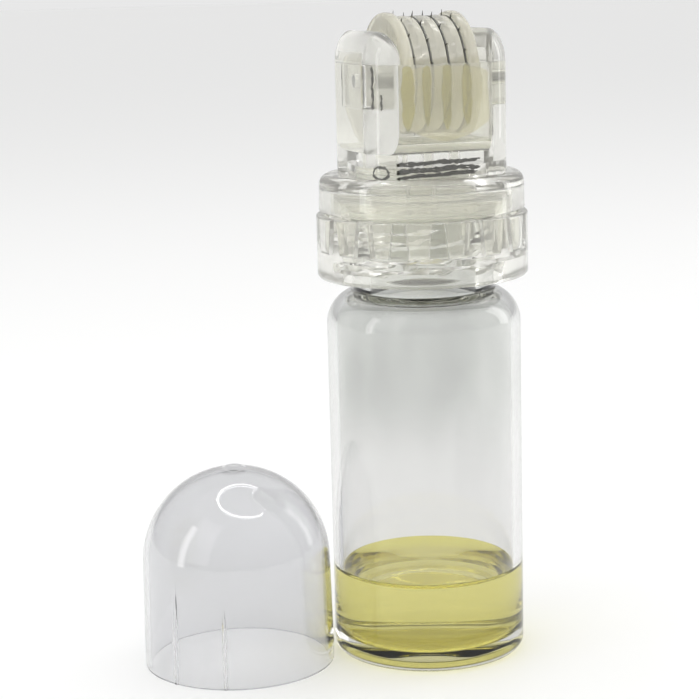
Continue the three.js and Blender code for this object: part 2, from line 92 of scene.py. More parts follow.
class HeadSizes(bpy.types.PropertyGroup):
    """Walls and curves of the collar and the roller head."""

    slip: length("Slip", "Clearance of a piece pushed into another", 0.1 * MM)
    running: length("Running", "Clearance between pieces that move past each other", 0.3 * MM)
    sleeve_wall: length("Sleeve wall", "Wall of the collar's threaded sleeve", 0.8 * MM)
    collar_wall: length("Collar wall", "Outer wall of the collar", 0.9 * MM)
    collar_height: length("Collar height", "Height of the collar's outer wall", 7.2 * MM)
    lip: length("Lip", "Thickness of the collar's inner lip", 0.8 * MM)
    pocket_depth: length("Pocket depth", "Depth of the pockets between the ribs", 4.1 * MM)
    pockets: IntProperty(name="Pockets", description="Pockets round the collar", default=16, min=3)
    rib_share: FloatProperty(
        name="Rib share", description="Share of a pocket's pitch that is rib", default=0.4
    )
    ring_edge: length("Ring edge", "Radius of the head ring's top edge", 1.2 * MM)
    roof: length("Roof", "Thickness of the ring over the collar", 1.6 * MM)
    corner: length("Corner", "Corner radius of the head's block", 4.5 * MM)
    cap_round: length("Cap round", "Radius round the arm caps' outer edge", 3.2 * MM)
    cap_inner: length("Cap inner round", "Width of the rounding along the drum", 1.8 * MM)
    trough_corner: length("Trough corner", "Radius between the trough's floor and its walls", 3.0 * MM)
    arm_edge: length("Arm edge", "Width of the rounding at an arm's upright edges", 0.9 * MM)
    seam: length("Seam", "Gap between an arm and its cap", 0.03 * MM)
    bush_corner: length("Bush corner", "Radius of a bush's lower corners", 0.5 * MM)
    proud: length("Proud", "How far the arms stand out from the walls", 0.25 * MM)
    trough_wall: length("Trough wall", "Thickness of the walls before and behind the drum", 0.6 * MM)
    trough_floor: length("Trough floor", "Thickness of the floor under the drum", 1.45 * MM)
    spigot: length("Spigot", "Radius of the feed plug's spigot", 6.2 * MM)
    outlet: length("Outlet", "Radius of an outlet to the drum", 0.6 * MM)
    outlet_spacing: length("Outlet spacing", "Distance between two outlets", 2.8 * MM)


class DrumSizes(bpy.types.PropertyGroup):
    """The drum's discs and needles."""

    clearance: length("Clearance", "Clearance round the axle and the core", 0.05 * MM)
    edge: length("Edge", "Radius of a spacer disc's edge", 0.12 * MM)
    end_edge: length("End edge", "Radius of an end disc's edge", 0.55 * MM)
    needles: IntProperty(name="Needles", description="Needles round one disc", default=16, min=3)
    needle_width: length("Needle width", "Width of a needle at its root", 0.2 * MM)
    needle_length: length("Needle length", "Length of a needle beyond the discs", 0.6 * MM)
    lean: FloatProperty(name="Lean", description="Lean of a needle", default=0.035, subtype="ANGLE")


class CapSizes(bpy.types.PropertyGroup):
    """The domed cap's wall and marks."""

    wall: length("Wall", "Thickness of the cap", 0.6 * MM)
    side: length("Side", "Height of the straight side", 12.0 * MM)
    taper: length("Taper", "How much narrower the dome is than the mouth", 0.2 * MM)
    mould_line: length("Mould line", "Height of a mould line", 0.1 * MM)
    mould_bearings: FloatVectorProperty(
        name="Mould lines", description="Bearings of the two mould lines", size=2, unit="ROTATION",
        default=(math.radians(-114), math.radians(-147)),
    )
    gate_radius: length("Gate radius", "Radius of the moulding gate's mark", 1.3 * MM)
    gate_height: length("Gate height", "Height of the moulding gate's mark", 0.25 * MM)


class Finishes(bpy.types.PropertyGroup):
    """Colours of the materials."""

    glass: colour("Glass", "Tint of the vial's glass", (0.818, 0.827, 0.812))
    glass_foot: colour("Glass at the foot", "Tint of the vial's lower half", (0.85, 0.85, 0.845))
    serum: colour("Serum", "Colour of the serum", (0.90, 0.84, 0.29))
    plastic: colour("Clear plastic", "Tint of the clear plastic", (0.945, 0.942, 0.9))
    cap: colour("Cap plastic", "Tint of the cap's plastic", (0.832, 0.834, 0.846))
    drum: colour("Drum plastic", "Tint of the drum's discs", (0.95, 0.93, 0.82))
    silicone: colour("Silicone", "Colour of the seals", (0.86, 0.87, 0.85))
    steel: colour("Needle steel", "Colour of the needles and the axle", (0.20, 0.20, 0.19))
    film: colour("Serum film", "Colour of the serum held between the discs and the wall", (0.70, 0.66, 0.28))
    sheen: colour("Serum sheen", "Colour of the thin serum behind the wall", (0.95, 0.92, 0.74))
    residue: colour("Residue", "Colour of the serum residue under the drum", (0.012, 0.012, 0.009))


class StageSizes(bpy.types.PropertyGroup):
    """Camera, lights and floor."""

    lens: FloatProperty(name="Lens", description="Focal length on a 36 mm sensor", default=101.27)
    camera: FloatVectorProperty(
        name="Camera",
        description="Place of the camera",
        default=(-77.3 * MM, -206.7 * MM, 77.0 * MM),
        unit="LENGTH",
    )
    heading: FloatProperty(
        name="Heading", description="Turn of the view from +Y to +X", default=math.radians(18.29)
    )
    pitch: FloatProperty(name="Pitch", description="How far the view looks down", default=math.radians(10.73))
    roll: FloatProperty(
        name="Roll", description="Turn of the camera about its view", default=math.radians(-1.47)
    )
    floor: colour("Floor", "Colour of the floor", (0.93, 0.93, 0.925))
    ring_centre: FloatVectorProperty(
        name="Ring centre",
        description="Place of the ring lamp",
        default=(62 * MM, 3 * MM, 450 * MM),
        unit="LENGTH",
    )
    ring_radius: length("Ring radius", "Radius of the ring lamp", 210 * MM)
    ring_lamps: IntProperty(name="Ring lamps", description="Lamps on the ring", default=40, min=3)
    ring_lamp_size: length("Ring lamp size", "Diameter of one of the ring's lamps", 22 * MM)
    ring_power: FloatProperty(name="Ring power", description="Power of the ring lamp in watts", default=0.5)
    zenith_light: FloatProperty(
        name="Zenith light", description="Brightness of the room overhead", default=0.9
    )
    sky: FloatProperty(
        name="Sky", description="Brightness of the backdrop, the same as the far floor", default=0.807
    )
    horizon_light: FloatProperty(name="Horizon light", description="Brightness at the horizon", default=0.56)


SIZES = (VialSizes, HeadSizes, DrumSizes, CapSizes, Finishes, StageSizes)
SIZE_NAMES = {
    VialSizes: "roller_vial",
    HeadSizes: "roller_head",
    DrumSizes: "roller_drum",
    CapSizes: "roller_cap",
    Finishes: "roller_finish",
    StageSizes: "roller_stage",
}


# ---------------------------------------------------------------- surfaces
def rounded(corners, steps=8):
    """A profile from (radius, height, fillet) corners: each corner with a fillet becomes an arc that is
    tangent to both of its sides, cut short where a side has no room for it. A corner whose sides lie in
    one line has nothing to round and keeps its point."""
    points = np.array([c[:2] for c in corners], float)
    out = []
    for i, (r, z, fillet) in enumerate(corners):
        here = np.array((r, z))
        if fillet <= 0 or i in (0, len(corners) - 1):
            out.append(here)
            continue
        before, after = points[i - 1] - here, points[i + 1] - here
        a, b = np.linalg.norm(before), np.linalg.norm(after)
        before, after = before / a, after / b
        if np.linalg.norm(before + after) < STRAIGHT:
            out.append(here)
            continue
        half = math.acos(np.clip(before @ after, -1, 1)) / 2
        cut = min(fillet / math.tan(half), 0.49 * a, 0.49 * b)
        start, end = here + before * cut, here + after * cut
        radius = cut * math.tan(half)
        middle = here + (before + after) / np.linalg.norm(before + after) * radius / math.sin(half)
        a0, a1 = (math.atan2(*(p - middle)[::-1]) for p in (start, end))
        sweep = (a1 - a0 + math.pi) % TAU - math.pi
        angles = a0 + sweep * np.linspace(0, 1, steps + 1)
        out.extend(middle + radius * np.stack([np.cos(angles), np.sin(angles)], 1))
    return np.array(out)


def subdivided(profile, step):
    """The same profile with extra points, so that no stretch is longer than step."""
    out = [profile[:1]]
    for a, b in zip(profile[:-1], profile[1:]):
        n = max(1, math.ceil(np.linalg.norm(b - a) / step))
        out.append(a + (b - a) * np.arange(1, n + 1)[:, None] / n)
    return np.concatenate(out)


def surface(name, grid, wrap_u=False, wrap_v=True):
    """A closed mesh from a grid of points with shape (rows, columns, 3). Rows that close on a point, such
    as a pole, are merged, and faces are turned so that the volume inside is positive."""
    if not np.isfinite(grid).all():
        raise ValueError(f"{name} has a point that is not a number")
    rows, columns = grid.shape[:2]
    i = np.arange(rows if wrap_u else rows - 1)
    j = np.arange(columns if wrap_v else columns - 1)
    i, j = np.meshgrid(i, j, indexing="ij")
    i2, j2 = (i + 1) % rows, (j + 1) % columns
    corners = (i * columns + j, i * columns + j2, i2 * columns + j2, i2 * columns + j)
    quads = np.stack(corners, -1).reshape(-1, 4)
    mesh = bpy.data.meshes.new(name)
    mesh.from_pydata(grid.reshape(-1, 3), [], quads.tolist())
    return finished(name, mesh)


def finished(name, mesh, merge=1e-7):
    """Links the mesh as a piece with merged doubles, outward faces and crisp edges where it bends sharply."""
    bm = bmesh.new()
    bm.from_mesh(mesh)
    bmesh.ops.remove_doubles(bm, verts=bm.verts, dist=merge)
    bmesh.ops.dissolve_degenerate(bm, edges=bm.edges, dist=merge)
    if bm.calc_volume(signed=True) < 0:
        bmesh.ops.reverse_faces(bm, faces=bm.faces)
    for face in bm.faces:
        face.smooth = True
    for edge in bm.edges:
        edge.smooth = len(edge.link_faces) == 2 and edge.calc_face_angle(0) < SHARP
    bm.to_mesh(mesh)
    bm.free()
    obj = bpy.data.objects.new(name, mesh)
    bpy.context.scene.collection.objects.link(obj)
    return obj


def arc(centre_r, centre_z, radius, start, end, steps=16):
    """Points of a circle's arc in a profile, between two angles."""
    angles = np.linspace(start, end, steps + 1)
    return np.stack([centre_r + radius * np.cos(angles), centre_z + radius * np.sin(angles)], 1)


def turned_grid(profile, turns=TURNS, ridge=None, centre=(0, 0, 0)):
    """Points of a profile of (radius, height) turned about Z. ridge(radius, height, angle) may add to
    the radius, as a thread does."""
    angles = TAU * np.arange(turns) / turns
    r, z = profile[:, 0][:, None], profile[:, 1][:, None]
    radius = np.broadcast_to(r, (len(profile), turns)).copy()
    height = np.broadcast_to(z, radius.shape)
    if ridge is not None:
        radius = radius + ridge(radius, height, np.broadcast_to(angles, radius.shape))
    grid = np.stack([radius * np.cos(angles), radius * np.sin(angles), height], -1)
    return grid + np.array(centre)


def turned(name, profile, **options):
    """A piece turned about Z. The profile starts and ends on the axis, or its last point is its first."""
    closed = np.allclose(profile[0], profile[-1])
    grid = turned_grid(profile[:-1] if closed else profile, **options)
    return surface(name, grid, wrap_u=closed)


def about_axle(grid):
    """Lays a grid made about Z along the axle, with its heights along +X."""
    laid = np.stack([grid[..., 2], -grid[..., 1], grid[..., 0]], -1)
    return laid + np.array((0, 0, AXLE_Z))


def prism(name, outline, low, high, axis):
    """A flat outline carried from low to high along X (outline in Y, Z) or along Z (outline in X, Y)."""
    rings = []
    for level in (low, low, high, high):
        fill = np.full(len(outline), level)
        if axis == "X":
            rings.append(np.stack([fill, outline[:, 0], outline[:, 1]], -1))
        else:
            rings.append(np.stack([outline[:, 0], outline[:, 1], fill], -1))
    rings[0] = np.broadcast_to(rings[0].mean(0), rings[0].shape)
    rings[-1] = np.broadcast_to(rings[-1].mean(0), rings[-1].shape)
    return surface(name, np.stack(rings))


def slot_outline(half, low, top, corner, steps=10):
    """Straight sides from top down to a flat foot, whose corners are quarter circles."""
    angles = np.linspace(math.pi, 1.5 * math.pi, steps + 1)
    left = np.stack([corner - half + corner * np.cos(angles), low + corner + corner * np.sin(angles)], 1)
    right = left[::-1] * (-1, 1)
    return np.concatenate([[(-half, top)], left, right, [(half, top)]])


def rounded_rectangle(half_x, half_y, corner, steps=20):
    """A rectangle about the origin whose corners are quarter circles."""
    quarter = np.linspace(0, math.pi / 2, steps + 1)
    parts = []
    for k, (sx, sy) in enumerate(((1, 1), (-1, 1), (-1, -1), (1, -1))):
        a = quarter + k * math.pi / 2
        parts.append(
            np.stack(
                [sx * (half_x - corner) + corner * np.cos(a), sy * (half_y - corner) + corner * np.sin(a)], 1
            )
        )
    return np.concatenate(parts)


def carved(body, cutters, joins=()):
    """The body with the joins added and the cutters taken away, by exact booleans on closed meshes."""
    for operation, others in (("UNION", joins), ("DIFFERENCE", cutters)):
        for other in others:
            modifier = body.modifiers.new("carve", "BOOLEAN")
            modifier.operation = operation
            modifier.solver = "EXACT"
            modifier.object = other
            depsgraph = bpy.context.evaluated_depsgraph_get()
            mesh = bpy.data.meshes.new_from_object(body.evaluated_get(depsgraph))
            body.modifiers.clear()
            body.data = mesh
            bpy.data.objects.remove(other)
    name, mesh = body.name, body.data
    bpy.data.objects.remove(body)
    return finished(name, mesh, merge=1e-6)


def place(obj, body, slot, material, *replaced):
    """Gives a finished piece its material and its body, and hides the CAD nodes that it stands for."""
    obj.data.materials.clear()
    obj.data.materials.append(material)
    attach(obj, body)
    if replaced:
        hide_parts(*replaced)
    return obj


# ---------------------------------------------------------------- materials
def new_material(name):
    material = bpy.data.materials.new(name)
    material.use_nodes = True
    tree = material.node_tree
    return material, tree, tree.nodes["Principled BSDF"]


def object_noise(tree, scale, detail=3, stretch=(1, 1, 1), seed=0.0):
    """Noise in the piece's own space, stretched along an axis where its scale there is small."""
    where = tree.nodes.new("ShaderNodeTexCoord")
    mapping = tree.nodes.new("ShaderNodeMapping")
    mapping.inputs["Scale"].default_value = stretch
    mapping.inputs["Location"].default_value = (seed, seed, seed)
    noise = tree.nodes.new("ShaderNodeTexNoise")
    noise.inputs["Scale"].default_value = scale
    noise.inputs["Detail"].default_value = detail
    tree.links.new(where.outputs["Object"], mapping.inputs["Vector"])
    tree.links.new(mapping.outputs["Vector"], noise.inputs["Vector"])
    return noise.outputs["Fac"]


def ramp(tree, factor, low, high, start=0.35, end=0.65):
    """A number that runs from low to high as factor goes from start to end."""
    node = tree.nodes.new("ShaderNodeMapRange")
    node.inputs["From Min"].default_value = start
    node.inputs["From Max"].default_value = end
    node.inputs["To Min"].default_value = low
    node.inputs["To Max"].default_value = high
    tree.links.new(factor, node.inputs["Value"])
    return node.outputs["Result"]


def tint(tree, factor, first, second):
    """A colour that runs from first to second with factor."""
    node = tree.nodes.new("ShaderNodeMix")
    node.data_type = "RGBA"
    node.inputs["A"].default_value = (*first, 1)
    node.inputs["B"].default_value = (*second, 1)
    tree.links.new(factor, node.inputs["Factor"])
    return node.outputs["Result"]


def bump(tree, shader, height, distance, strength=1.0):
    node = tree.nodes.new("ShaderNodeBump")
    node.inputs["Distance"].default_value = distance
    node.inputs["Strength"].default_value = strength
    tree.links.new(height, node.inputs["Height"])
    tree.links.new(node.outputs["Normal"], shader.inputs["Normal"])


def lets_lamps_through(tree, shader, through):
    """Lamps shine through the piece, tinted, so that what is inside it is lit."""
    clear = tree.nodes.new("ShaderNodeBsdfTransparent")
    clear.inputs["Color"].default_value = (*through, 1)
    path = tree.nodes.new("ShaderNodeLightPath")
    mix = tree.nodes.new("ShaderNodeMixShader")
    tree.links.new(path.outputs["Is Shadow Ray"], mix.inputs["Fac"])
    tree.links.new(shader.outputs["BSDF"], mix.inputs[1])
    tree.links.new(clear.outputs["BSDF"], mix.inputs[2])
    tree.links.new(mix.outputs["Shader"], tree.nodes["Material Output"].inputs["Surface"])


def clear_material(name, colour, ior, smooth, hazy, flow, ripple, seed=0.0, shade=0.94, clarity=1.0):
    """A clear solid: its tint and its haze vary a little, and its surface has moulding flow lines. With a
    clarity below 1, part of it is milky."""
    material, tree, shader = new_material(name)
    shader.inputs["Transmission Weight"].default_value = clarity
    shader.inputs["IOR"].default_value = ior
    cloud = object_noise(tree, 180, 2, seed=seed)
    deeper = tuple(c * shade for c in colour)
    tree.links.new(tint(tree, cloud, colour, deeper), shader.inputs["Base Color"])
    smear = object_noise(tree, 420, 4, stretch=(1, 1, 0.25), seed=seed + 3)
    tree.links.new(ramp(tree, smear, smooth, hazy, 0.45, 0.8), shader.inputs["Roughness"])
    bump(tree, shader, object_noise(tree, flow, 2, stretch=(1, 1, 0.3), seed=seed + 7), ripple)
    lets_lamps_through(tree, shader, tuple(0.5 + 0.5 * c for c in colour))
    return material


def glass_material(colour, foot_colour):
    """Thin glass whose tint carries soft upright lighter and darker bands, painted reflections of the room,
    and which runs to a second tint towards the foot.
    """
    material = clear_material("vial_glass", colour, 1.47, 0.0, 0.02, 60, 0.012 * MM)
    tree = material.node_tree
    shader = tree.nodes["Principled BSDF"]
    # painted reflections: upright bands lighter and darker than the glass's tint stand in for the room
    # reflected in the glass
    painted_reflection_bands = ramp(tree, object_noise(tree, 95, 2, stretch=(1, 1, 0.4), seed=0.7), 0, 1, 0.38, 0.62)
    reflection_banded_tint = tint(tree, painted_reflection_bands, tuple(1.06 * c for c in colour), tuple(0.87 * c for c in colour))
    where = tree.nodes.new("ShaderNodeTexCoord")
    split = tree.nodes.new("ShaderNodeSeparateXYZ")
    tree.links.new(where.outputs["Object"], split.inputs["Vector"])
    low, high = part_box("glass_vial")
    rise = ramp(tree, split.outputs["Z"], 0, 1, 0.40 * high.z, 0.62 * high.z)
    mix = tree.nodes.new("ShaderNodeMix")
    mix.data_type = "RGBA"
    mix.inputs["A"].default_value = (*foot_colour, 1)
    tree.links.new(rise, mix.inputs["Factor"])
    tree.links.new(reflection_banded_tint, mix.inputs["B"])
    tree.links.new(mix.outputs["Result"], shader.inputs["Base Color"])
    return material


def silicone_material(colour):
    material, tree, shader = new_material("silicone")
    shader.inputs["Transmission Weight"].default_value = 0.55
    shader.inputs["IOR"].default_value = 1.41
    cloud = object_noise(tree, 300, 3)
    tree.links.new(tint(tree, cloud, colour, tuple(0.9 * c for c in colour)), shader.inputs["Base Color"])
    tree.links.new(ramp(tree, cloud, 0.32, 0.5), shader.inputs["Roughness"])
    bump(tree, shader, object_noise(tree, 2500, 3), 0.01 * MM)
    lets_lamps_through(tree, shader, (0.6, 0.6, 0.58))
    return material


def steel_material(colour):
    """Fine steel with grinding marks round the disc, darker where it has been etched."""
    material, tree, shader = new_material("needle_steel")
    shader.inputs["Metallic"].default_value = 0.85
    etched = object_noise(tree, 900, 4)
    tree.links.new(tint(tree, etched, colour, tuple(0.55 * c for c in colour)), shader.inputs["Base Color"])
    tree.links.new(ramp(tree, etched, 0.28, 0.5), shader.inputs["Roughness"])
    bump(tree, shader, object_noise(tree, 5000, 2, stretch=(1, 1, 1)), 0.004 * MM)
    return material


def residue_material(colour):
    """Thin dried serum: almost black where it is thick and brown-green at its ragged edges."""
    material, tree, shader = new_material("serum_residue")
    ragged = object_noise(tree, 1800, 5)
    tree.links.new(tint(tree, ragged, colour, (0.05, 0.048, 0.035)), shader.inputs["Base Color"])
    tree.links.new(ramp(tree, ragged, 0.35, 0.7), shader.inputs["Roughness"])
    shader.inputs["Specular IOR Level"].default_value = 0.2
    bump(tree, shader, object_noise(tree, 3500, 3), 0.05 * MM)
    return material


def make_materials(finish):
    """All materials of the object, by name."""
    return {
        "glass": glass_material(finish.glass, finish.glass_foot),
        "serum": clear_material("serum", finish.serum, 1.345, 0.0, 0.01, 40, 0.002 * MM, shade=0.97),
        "plastic": clear_material("clear_plastic", finish.plastic, 1.49, 0.0, 0.05, 150, 0.02 * MM, 1.0,
                                  clarity=0.9),
        "cap": clear_material("cap_plastic", finish.cap, 1.49, 0.0, 0.05, 90, 0.02 * MM, 2.0, clarity=0.97),
        "drum": clear_material("drum_plastic", finish.drum, 1.49, 0.02, 0.13, 500, 0.1 * MM, 4.0, shade=0.84,
                               clarity=0.68),
        "film": clear_material("serum_film", finish.film, 1.36, 0.0, 0.12, 900, 0.05 * MM, 5.0, clarity=0.85),
        "sheen": clear_material(
            "serum_sheen", finish.sheen, 1.36, 0.0, 0.15, 700, 0.06 * MM, 6.0, clarity=0.85
        ),
        "silicone": silicone_material(finish.silicone),
        "steel": steel_material(finish.steel),
        "residue": residue_material(finish.residue),
    }


MATERIALS = {}
AXLE_Z = (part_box("axle")[0].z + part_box("axle")[1].z) / 2


def trough_radius():
    """Inner radius of the trough round the drum."""
    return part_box("needle_disc_1")[1].z - AXLE_Z + sizes(HeadSizes).running


def sizes(kind):
    return getattr(bpy.context.scene, SIZE_NAMES[kind])


def ridge_profile(offset, root, tip):
    """Height of a thread's ridge, from 0 to 1, across it: flat to half the tip's width, then sloping to
    half the root's width."""
    return np.clip((root / 2 - np.abs(offset)) / ((root - tip) / 2), 0, 1)


def thread(vial, sign, at_radius, start_angle, reach):
    """A helical ridge for turned_grid: it grows outwards (sign 1) or inwards (sign -1) from at_radius and
    fades in and out over the last part of a turn."""
    start = vial.height + vial.thread_lift

    def add(radius, height, angle):
        total = np.zeros_like(radius)
        for lap in range(3):
            turn = (angle - start_angle) / TAU + lap
            along = start + vial.thread_pitch * turn
            shape = ridge_profile(height - along, 1.3 * MM, 0.7 * MM)
            fade = np.clip(turn / 0.06, 0, 1) * np.clip((vial.thread_turns - turn) / 0.06, 0, 1)
            total = np.maximum(total, shape * fade)
        on_wall = np.abs(radius - at_radius) < reach
        return sign * vial.thread_height * total * on_wall

    return add


# ---------------------------------------------------------------- pieces
class RollerOperator:
    """What all the operators here share."""

    bl_options = {"REGISTER", "UNDO"}


class MakeMaterials(RollerOperator, bpy.types.Operator):
    """Make the glass, serum, plastic, silicone, steel and residue materials."""

    bl_idname = "roller.make_materials"
    bl_label = "Materials"

    def execute(self, context):
        MATERIALS.update(make_materials(sizes(Finishes)))
        return {"FINISHED"}


class MakeVial(RollerOperator, bpy.types.Operator):
    """Make the glass vial: a turned wall whose neck carries a helical thread."""

    bl_idname = "roller.make_vial"
    bl_label = "Glass vial"

    def execute(self, context):
        vial = sizes(VialSizes)
        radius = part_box("glass_vial")[1].x
        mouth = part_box("glass_vial")[1].z
        bore = radius - vial.wall
        neck, inner_neck = vial.neck_radius, vial.neck_radius - vial.neck_wall
        foot = radius - 1.9 * MM
        turn_r, turn_z = radius - vial.shoulder, vial.height - vial.shoulder
        ceiling = vial.height - vial.wall
        stop = math.acos((neck + 0.5 * MM - turn_r) / vial.shoulder)
        outside = arc(turn_r, turn_z, vial.shoulder, 0, stop)
        inside = arc(turn_r, turn_z, vial.shoulder - vial.wall, math.pi / 2, 0)
        base = rounded(
            [
                (0, vial.punt, 0),
                (foot - 2.2 * MM, vial.punt, 3 * MM),
                (foot - 0.6 * MM, 0, 0.8 * MM),
                (radius, 0, vial.heel),
                (radius, turn_z, 0),
            ],
            steps=12,
        )
        throat = rounded(
            [
                (*outside[-1], 0),
                (neck, outside[-1][1] + 0.1 * MM, 0.5 * MM),
                (neck, mouth, 0.5 * MM),
                (inner_neck, mouth, 0.5 * MM),
                (inner_neck, ceiling, 0.9 * MM),
                (turn_r, ceiling, 0),
            ],
            steps=12,
        )
        bottom = rounded(
            [
                (bore, turn_z, 0),
                (bore, vial.floor, vial.heel + 0.5 * MM),
                (0, vial.floor + vial.punt, 0),
            ],
            steps=12,
        )
        profile = np.concatenate([base, outside[1:], throat[1:], inside[1:], bottom[1:]])
        profile = subdivided(profile, 1.2 * MM)
        on_neck = (profile[:, 1] > vial.height) & (profile[:, 0] > neck - 0.1 * MM)
        fine = subdivided(profile[on_neck], 0.12 * MM)
        first = int(np.argmax(on_neck))
        last = first + int(on_neck.sum())
        profile = np.concatenate([profile[:first], fine, profile[last:]])
        ridge = thread(vial, 1, neck, 0, 0.05 * MM)
        obj = turned("vial", profile, ridge=ridge)
        place(obj, "vial", "vial_glass", MATERIALS["glass"], "glass_vial")
        return {"FINISHED"}


class MakeSerum(RollerOperator, bpy.types.Operator):
    """Make the serum: it fills the foot of the vial and climbs a little where it meets the glass."""

    bl_idname = "roller.make_serum"
    bl_label = "Serum"

    def execute(self, context):
        vial = sizes(VialSizes)
        low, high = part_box("serum_fill")
        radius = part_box("glass_vial")[1].x - vial.wall + 0.03 * MM
        floor = vial.floor - 0.03 * MM
        top = high.z
        level = top - vial.meniscus
        across = np.linspace(0, 1, 40)
        climb = np.exp(-(1 - across) * radius / (0.75 * MM))
        surface_line = np.stack([radius * across, level + (top - level) * climb], 1)[::-1]
        foot = rounded(
            [(0, floor + vial.punt, 0), (radius, floor, vial.heel + 0.5 * MM), (radius, top, 0)], steps=12
        )
        profile = np.concatenate([subdivided(foot, 1.0 * MM), surface_line[1:]])
        obj = turned("serum", profile)
        place(obj, "vial", "serum", MATERIALS["serum"], "serum_fill")
        return {"FINISHED"}


class MakeCollar(RollerOperator, bpy.types.Operator):
    """Make the screw collar. Its section changes round the ring between a solid rib and an open pocket."""

    bl_idname = "roller.make_collar"
    bl_label = "Screw collar"

    def execute(self, context):
        vial, head = sizes(VialSizes), sizes(HeadSizes)
        low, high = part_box("screw_collar")
        outer, bottom, lip_top = high.x, low.z, high.z
        top = bottom + head.collar_height
        bore = vial.neck_radius + vial.thread_height + head.running
        sleeve = bore + head.sleeve_wall
        pocket = outer - head.collar_wall
        lip_bore = head.spigot + head.running
        lip_low = lip_top - head.lip
        floor = top - head.pocket_depth

        def section(depth_z):
            return rounded(
                [
                    (bore, bottom, 0),
                    (bore + 0.35 * MM, bottom, 0.2 * MM),
                    (outer, bottom, 0.55 * MM),
                    (outer, top, 0.25 * MM),
                    (pocket, top, 0.12 * MM),
                    (pocket, depth_z, 0.3 * MM),
                    (sleeve, depth_z, 0.3 * MM),
                    (sleeve, lip_top, 0.25 * MM),
                    (lip_bore, lip_top, 0.2 * MM),
                    (lip_bore, lip_low, 0.2 * MM),
                    (bore, lip_low, 0.3 * MM),
                    (bore, bottom, 0),
                ],
                steps=5,
            )

        fine = 0.35 * MM
        open_section = section(floor)
        rib_section = section(top - 0.35 * MM)
        lengths = np.linalg.norm(np.diff(open_section, axis=0), axis=1)
        counts = np.maximum(1, np.ceil(lengths / fine)).astype(int)

        def refined(profile):
            pieces = [profile[:1]]
            for a, b, n in zip(profile[:-1], profile[1:], counts):
                pieces.append(a + (b - a) * np.arange(1, n + 1)[:, None] / n)
            return np.concatenate(pieces)

        open_section, rib_section = refined(open_section)[:-1], refined(rib_section)[:-1]
        turns = 20 * head.pockets
        angles = TAU * np.arange(turns) / turns
        phase = np.abs((angles * head.pockets / TAU + 0.5) % 1 - 0.5)
        half_open = (1 - head.rib_share) / 2
        share = np.clip((half_open + 0.02 - phase) / 0.04, 0, 1)
        share = (share * share * (3 - 2 * share))[None, :, None]
        section_grid = rib_section[:, None, :] * (1 - share) + open_section[:, None, :] * share
        radius, height = section_grid[..., 0], section_grid[..., 1]
        ridge = thread(vial, -1, bore, -math.pi, 0.05 * MM)
        wide = np.broadcast_to(angles, radius.shape)
        shifted = np.where(wide > math.pi, wide - TAU, wide)
        radius = radius + ridge(radius, height, shifted)
        grid = np.stack([radius * np.cos(angles), radius * np.sin(angles), height], -1)
        obj = surface("collar", grid, wrap_u=True)
        place(obj, "collar", "clear_plastic", MATERIALS["plastic"], "screw_collar")
        return {"FINISHED"}


class MakeFeed(RollerOperator, bpy.types.Operator):
    """Make the feed plug, its drip insert, the mouth gasket and the spigot's seal, all turned pieces."""

    bl_idname = "roller.make_feed"
    bl_label = "Feed and seals"

    def execute(self, context):
        vial, head = sizes(VialSizes), sizes(HeadSizes)
        low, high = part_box("base_plug")
        gasket_low, gasket_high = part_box("mouth_gasket")
        seal_low, seal_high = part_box("spigot_seal")
        insert_low, insert_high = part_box("drip_insert")
        skirt = vial.neck_radius - vial.neck_wall - 2 * head.slip
        skirt_bore = insert_high.x + head.slip
        rim_low, rim = gasket_high.z, high.x
        rim_top = rim_low + 0.9 * MM
        groove = head.spigot - 0.5 * MM
        soft = 0.15 * MM
        plug = rounded(
            [
                (skirt_bore, low.z, 0),
                (skirt_bore + 0.3 * MM, low.z, soft),
                (skirt, low.z, 0.4 * MM),
                (skirt, rim_low, soft),
                (rim, rim_low, soft),
                (rim, rim_top, soft),
                (head.spigot, rim_top, 0.3 * MM),
                (head.spigot, seal_low.z - head.slip, soft),
                (groove, seal_low.z - head.slip, soft),
                (groove, seal_high.z + head.slip, soft),
                (head.spigot, seal_high.z + head.slip, soft),
                (head.spigot, high.z, 0.3 * MM),
                (1.2 * MM, high.z, 0.3 * MM),
                (1.2 * MM, rim_low, soft),
                (skirt_bore, rim_low, soft),
                (skirt_bore, low.z, 0),
            ],
            steps=4,
        )
        obj = turned("feed_plug", plug)
        place(obj, "head", "clear_plastic", MATERIALS["plastic"], "base_plug")
        inner = skirt + head.slip
        outer = gasket_high.x
        gasket = rounded(
            [
                (inner, gasket_low.z, 0),
                (inner + 0.4 * MM, gasket_low.z, 0.1 * MM),
                (outer, gasket_low.z, 0.3 * MM),
                (outer, gasket_high.z, 0.3 * MM),
                (inner, gasket_high.z, 0.2 * MM),
                (inner, gasket_low.z, 0),
            ],
            steps=4,
        )
        obj = turned("gasket", gasket)
        place(obj, "head", "silicone", MATERIALS["silicone"], "mouth_gasket")
        half = (seal_high.z - seal_low.z) / 2
        middle_z = (seal_high.z + seal_low.z) / 2
        wide = (seal_high.x - groove - 0.05 * MM) / 2
        ring = TAU * np.arange(25) / 24
        seal = np.stack([seal_high.x - wide + wide * np.cos(ring), middle_z + half * np.sin(ring)], 1)
        obj = turned("seal_ring", seal)
        place(obj, "head", "silicone", MATERIALS["silicone"], "spigot_seal")
        wall = 0.9 * MM
        insert = rounded(
            [
                (insert_high.x - wall, insert_low.z, 0),
                (insert_high.x - 0.3 * MM, insert_low.z, soft),
                (insert_high.x, insert_low.z, 0.2 * MM),
                (insert_high.x, insert_high.z, 0.2 * MM),
                (0.5 * MM, insert_high.z, 0.1 * MM),
                (0.5 * MM, insert_high.z - wall, 0.1 * MM),
                (insert_high.x - wall, insert_high.z - wall, 0.4 * MM),
                (insert_high.x - wall, insert_low.z, 0),
            ],
            steps=4,
        )
        obj = turned("drip_ring", insert)
        place(obj, "head", "silicone", MATERIALS["silicone"], "drip_insert")
        return {"FINISHED"}


